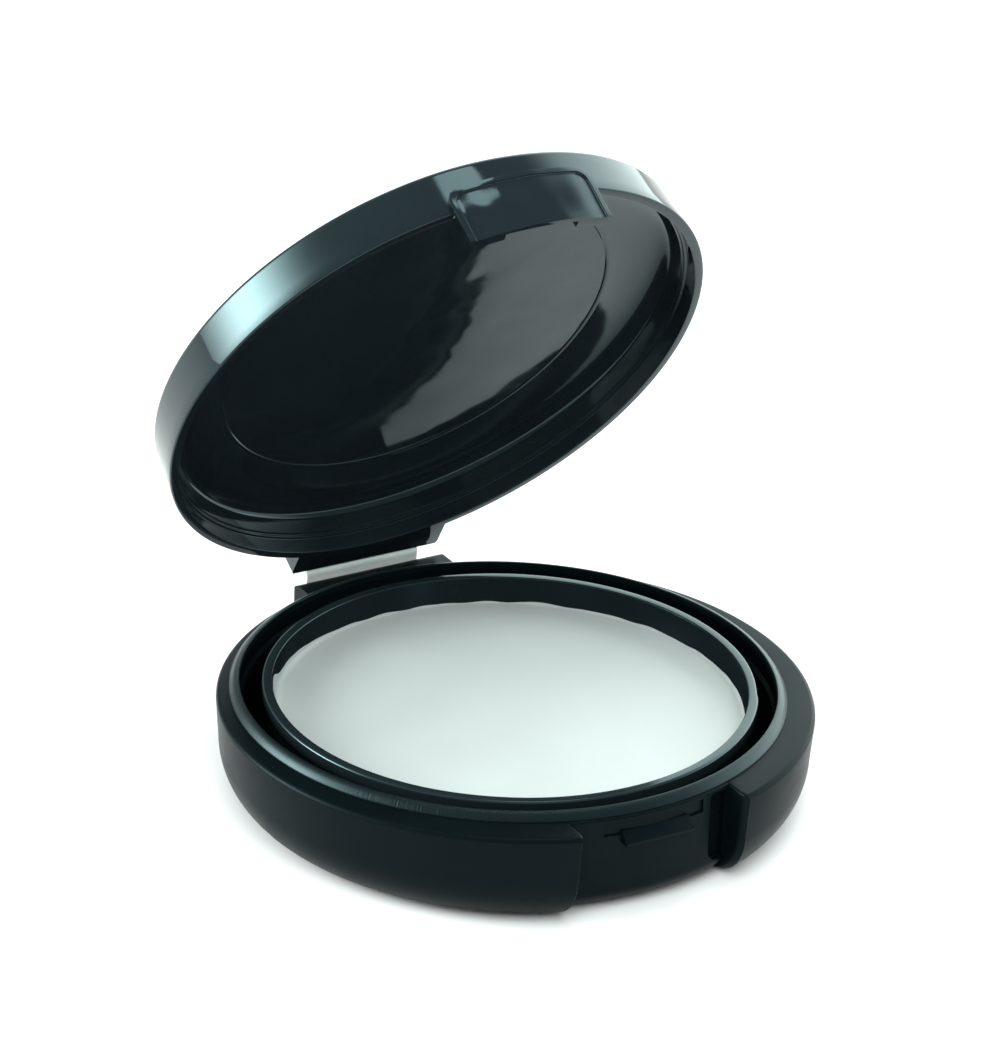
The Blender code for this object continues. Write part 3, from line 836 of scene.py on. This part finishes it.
def plastic(name, dark, light, roughness, spread, grain, grain_depth, specular):
    """Moulded black plastic: cloudy tone, patchy gloss, handling marks and a fine skin texture."""
    made = Nodes(name)
    made.set(Specular_IOR_Level=specular, IOR=1.5, Specular_Tint=(0.66, 0.94, 1.0, 1.0))
    cloud = made.noise(90.0, 4.0)
    made.link(made.ramp(cloud, [(0.3, dark), (0.7, light)]), made.shader.inputs["Base Color"])
    patches = made.noise(140.0, 5.0, 0.6)
    streaks = made.add("ShaderNodeMapping")
    streaks.inputs["Scale"].default_value = (60.0, 60.0, 1400.0)
    made.link(made.place, streaks.inputs["Vector"])
    wiped = made.noise(1.0, 4.0, 0.65, streaks.outputs["Vector"])
    mixed = made.maths("ADD", patches, made.maths("MULTIPLY", wiped, 0.5))
    gloss = made.span(mixed, 0.5, 1.0, roughness - spread, roughness + spread)
    made.link(gloss, made.shader.inputs["Roughness"])
    skin = made.noise(grain, 2.0, 0.6)
    waviness = made.noise(220.0, 2.0)
    under = made.bump(waviness, 0.12, 0.00006)
    made.bump(skin, 0.35, grain_depth, under)
    return made


def tool_marks(made, apart):
    """Fine marks of the cutter down the ring's outer slope, on its front left."""
    azimuth = made.maths("ARCTAN2", apart.outputs["Y"], apart.outputs["X"])
    along = made.add("ShaderNodeCombineXYZ")
    made.link(made.maths("MULTIPLY", azimuth, 150.0), along.inputs["X"])
    marks = made.noise(1.0, 2.0, 0.5, along.outputs["Vector"])
    near = made.span(azimuth, *TOOL_MARKS[:2], 0.0, 1.0)
    far = made.span(azimuth, *TOOL_MARKS[2:], 1.0, 0.0)
    above = made.span(apart.outputs["Z"], (SHOULDER_Z + 0.1) * MM, (SHOULDER_Z + 0.25) * MM, 0.0, 1.0)
    return made.maths("MULTIPLY", made.maths("MULTIPLY", marks, above), made.maths("MULTIPLY", near, far))


def base_plastic():
    """Satin plastic, rubbed glossier above the shoulder where the lid drops over the ring."""
    made = plastic(
        "base_satin_black",
        dark=(0.0016, 0.0034, 0.0042),
        light=(0.0026, 0.0048, 0.0058),
        roughness=0.35,
        spread=0.05,
        grain=9000.0,
        grain_depth=0.000012,
        specular=0.06,
    )
    apart = made.add("ShaderNodeSeparateXYZ")
    made.link(made.place, apart.inputs["Vector"])
    grained = made.shader.inputs["Normal"].links[0].from_socket
    made.bump(tool_marks(made, apart), 0.6, 0.0001, grained)
    low, high = (SHOULDER_Z + 0.06) * MM, (SHOULDER_Z + 0.2) * MM
    rubbed = made.span(apart.outputs["Z"], low, high, 0.06, 0.34)
    made.link(rubbed, made.shader.inputs["Specular IOR Level"])
    return made.material


def lid_plastic():
    return plastic(
        "lid_gloss_black",
        dark=(0.006, 0.0086, 0.0108),
        light=(0.0078, 0.011, 0.0136),
        roughness=0.06,
        spread=0.025,
        grain=3000.0,
        grain_depth=0.000002,
        specular=0.37,
    ).material


def pan_plastic():
    return plastic(
        "pan_gloss_black",
        dark=(0.0075, 0.0115, 0.013),
        light=(0.0095, 0.014, 0.016),
        roughness=0.14,
        spread=0.05,
        grain=5000.0,
        grain_depth=0.000005,
        specular=0.5,
    ).material


def foam():
    made = Nodes("damp_foam")
    made.set(Specular_IOR_Level=0.4)
    cells = made.add("ShaderNodeTexVoronoi", feature="SMOOTH_F1")
    cells.inputs["Scale"].default_value = 1700.0
    made.link(made.place, cells.inputs["Vector"])
    pores = cells.outputs["Distance"]
    # the pores' centres are painted darker than the foam around them: painted shade in the pits
    tone = made.ramp(pores, [(0.1, (0.36, 0.42, 0.4)), (0.6, (0.66, 0.72, 0.7))])
    made.link(tone, made.shader.inputs["Base Color"])
    made.link(made.span(made.noise(300.0), 0.3, 0.7, 0.45, 0.75), made.shader.inputs["Roughness"])
    made.bump(pores, 0.8, 0.0003)
    return made.material


def damp_paper():
    """Damp palette paper: milky, faintly mottled by water, with a soft sheen and short fibres."""
    made = Nodes("damp_palette_paper")
    made.set(Specular_IOR_Level=0.35, Subsurface_Weight=0.12, Subsurface_Scale=0.002)
    made.shader.inputs["Subsurface Radius"].default_value = (1.0, 1.0, 1.0)
    damp = made.noise(55.0, 3.0)
    tone = made.ramp(damp, [(0.35, (0.43, 0.43, 0.427)), (0.65, (0.455, 0.455, 0.45))])
    made.link(tone, made.shader.inputs["Base Color"])
    stretch = made.add("ShaderNodeMapping")
    stretch.inputs["Scale"].default_value = (1500.0, 5200.0, 2000.0)
    made.link(made.place, stretch.inputs["Vector"])
    fibres = made.noise(1.0, 3.0, 0.6, stretch.outputs["Vector"])
    made.link(made.span(made.noise(120.0, 4.0), 0.3, 0.7, 0.42, 0.6), made.shader.inputs["Roughness"])
    made.bump(fibres, 0.1, 0.00003)
    return made.material


def frosted_strip():
    """The milky, translucent plastic of the hinge strip."""
    made = Nodes("frosted_hinge_strip")
    made.set(Specular_IOR_Level=0.5, Transmission_Weight=0.1, Subsurface_Weight=0.2, Subsurface_Scale=0.0015)
    tone = made.ramp(made.noise(260.0, 4.0), [(0.3, (0.62, 0.7, 0.69)), (0.7, (0.68, 0.76, 0.75))])
    made.link(tone, made.shader.inputs["Base Color"])
    made.link(made.span(made.noise(500.0), 0.3, 0.7, 0.35, 0.55), made.shader.inputs["Roughness"])
    made.bump(made.noise(2500.0, 2.0), 0.25, 0.00002)
    return made.material


def floor_material():
    made = Nodes("studio_floor")
    made.set(Specular_IOR_Level=0.0, Roughness=0.9)
    tone = made.ramp(made.noise(3.0), [(0.3, (0.88, 0.8, 0.81)), (0.7, (0.895, 0.815, 0.825))])
    made.link(tone, made.shader.inputs["Base Color"])
    return made.material


# ---------------------------------------------------------------- studio


def studio_floor():
    bm = bmesh.new()
    bmesh.ops.create_grid(bm, x_segments=1, y_segments=1, size=3.0)
    mesh = bpy.data.meshes.new("floor")
    bm.to_mesh(mesh)
    bm.free()
    floor = bpy.data.objects.new("floor", mesh)
    bpy.context.scene.collection.objects.link(floor)
    floor.data.materials.append(floor_material())


def studio_world():
    """Light by direction: a round glow at the left, a card overhead, and a broad one at the back."""
    world = bpy.data.worlds.new("studio")
    world.use_nodes = True
    bpy.context.scene.world = world
    tree = world.node_tree
    sky = tree.nodes["Background"]
    direction = tree.nodes.new("ShaderNodeTexCoord").outputs["Generated"]

    def maths(operation, first, second):
        node = tree.nodes.new("ShaderNodeMath")
        node.operation = operation
        for socket, value in zip(node.inputs, (first, second)):
            if isinstance(value, (int, float)):
                socket.default_value = value
            else:
                tree.links.new(value, socket)
        return node.outputs["Value"]

    def towards(azimuth, elevation):
        """How closely a direction points to an azimuth and elevation: 1 when it does."""
        node = tree.nodes.new("ShaderNodeVectorMath")
        node.operation = "DOT_PRODUCT"
        tree.links.new(direction, node.inputs[0])
        flat = math.cos(math.radians(elevation))
        aim = (flat * math.cos(math.radians(azimuth)), flat * math.sin(math.radians(azimuth)))
        node.inputs[1].default_value = (*aim, math.sin(math.radians(elevation)))
        return node.outputs["Value"]

    def smooth(source, low, high, peak):
        node = tree.nodes.new("ShaderNodeMapRange")
        node.interpolation_type = "SMOOTHSTEP"
        for name, value in (("From Min", low), ("From Max", high), ("To Max", peak)):
            node.inputs[name].default_value = value
        tree.links.new(source, node.inputs["Value"])
        return node.outputs["Result"]

    def glow(azimuth, elevation, spread, radiance):
        """A round soft light that fades over spread degrees."""
        sharpness = 1.0 / math.radians(spread) ** 2
        fall = maths("MULTIPLY", maths("SUBTRACT", towards(azimuth, elevation), 1.0), sharpness)
        return maths("MULTIPLY", maths("EXPONENT", fall, 0.0), radiance)

    left = glow(**LEFT_GLOW)
    facing = towards(TOP_CARD["azimuth"], TOP_CARD["elevation"])
    above = smooth(facing, *TOP_CARD["edge"], TOP_CARD["radiance"])
    across = smooth(towards(BACK_CARD["azimuth"], 0.0), *BACK_CARD["sides"], BACK_CARD["radiance"])
    low_band = smooth(towards(0.0, 90.0), *BACK_CARD["top"], 1.0)
    total = maths("ADD", maths("ADD", left, above), maths("MULTIPLY", across, low_band))
    tree.links.new(maths("ADD", total, AMBIENT), sky.inputs["Strength"])
    sky.inputs["Color"].default_value = (*LIGHT_TINT, 1.0)


def softbox(name, place, size, radiance):
    """A rectangular soft light that faces the palette and isn't seen in its reflections."""
    light = bpy.data.lights.new(name, "AREA")
    light.shape = "RECTANGLE"
    light.size, light.size_y = size
    light.energy = radiance * math.pi * size[0] * size[1]
    light.color = LIGHT_TINT
    lamp = bpy.data.objects.new(name, light)
    lamp.location = place
    lamp.rotation_euler = (-Vector(place)).to_track_quat("-Z", "Y").to_euler()
    lamp.visible_glossy = False
    bpy.context.scene.collection.objects.link(lamp)


def lights():
    softbox("overhead", place=(0.1, -0.1, 1.0), size=(0.5, 0.6), radiance=3.4)
    softbox("front_key", place=(-0.35, -0.78, 1.15), size=(1.3, 0.9), radiance=5.0)


def camera():
    """The photograph's viewpoint: turned 31 degrees to the left, 25.5 up, and rolled by 2.4."""
    azimuth, elevation, roll = (math.radians(a) for a in (-31.344, 25.509, 2.370))
    distance, shift_x, shift_y = 561.15, -0.97, 18.61
    back = Vector((
        math.sin(azimuth) * math.cos(elevation),
        -math.cos(azimuth) * math.cos(elevation),
        math.sin(elevation),
    ))
    right = Vector((math.cos(azimuth), math.sin(azimuth), 0.0))
    up = right.cross(-back)
    turned_right = right * math.cos(roll) + up * math.sin(roll)
    turned_up = up * math.cos(roll) - right * math.sin(roll)
    place = back * distance + turned_right * shift_x + turned_up * shift_y + Vector((0, 0, SHOULDER_Z))
    lens = bpy.data.cameras.new("camera")
    lens.lens = 162.4
    lens.sensor_width = 36.0
    lens.clip_start = 0.05
    lens.clip_end = 20.0
    eye = bpy.data.objects.new("camera", lens)
    axes = Matrix((turned_right, turned_up, back)).transposed().to_4x4()
    eye.matrix_world = Matrix.Translation(place * MM) @ axes
    bpy.context.scene.collection.objects.link(eye)
    bpy.context.scene.camera = eye
    bpy.context.scene.view_settings.view_transform = "Standard"


# ---------------------------------------------------------------- the palette


def build():
    shell = base(base_plastic())
    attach(shell, "base")
    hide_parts("base_shell")

    tray = pan(pan_plastic())
    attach(tray, "base")
    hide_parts("inner_pan")

    pad = sponge(foam())
    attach(pad, "base")
    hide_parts("sponge")

    sheet = palette_paper(damp_paper())
    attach(sheet, "base")
    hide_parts("palette_paper")
    for piece in (pad, sheet):
        piece.visible_glossy = False  # the lid mirrors neither

    cover = lid(lid_plastic())
    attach(cover, "lid")
    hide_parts("lid_shell")

    strip = hinge_strip(frosted_strip())
    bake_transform(strip)
    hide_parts("hinge_strip_base_leaf", "hinge_strip_lid_leaf")


studio_floor()
studio_world()
lights()
camera()
build()
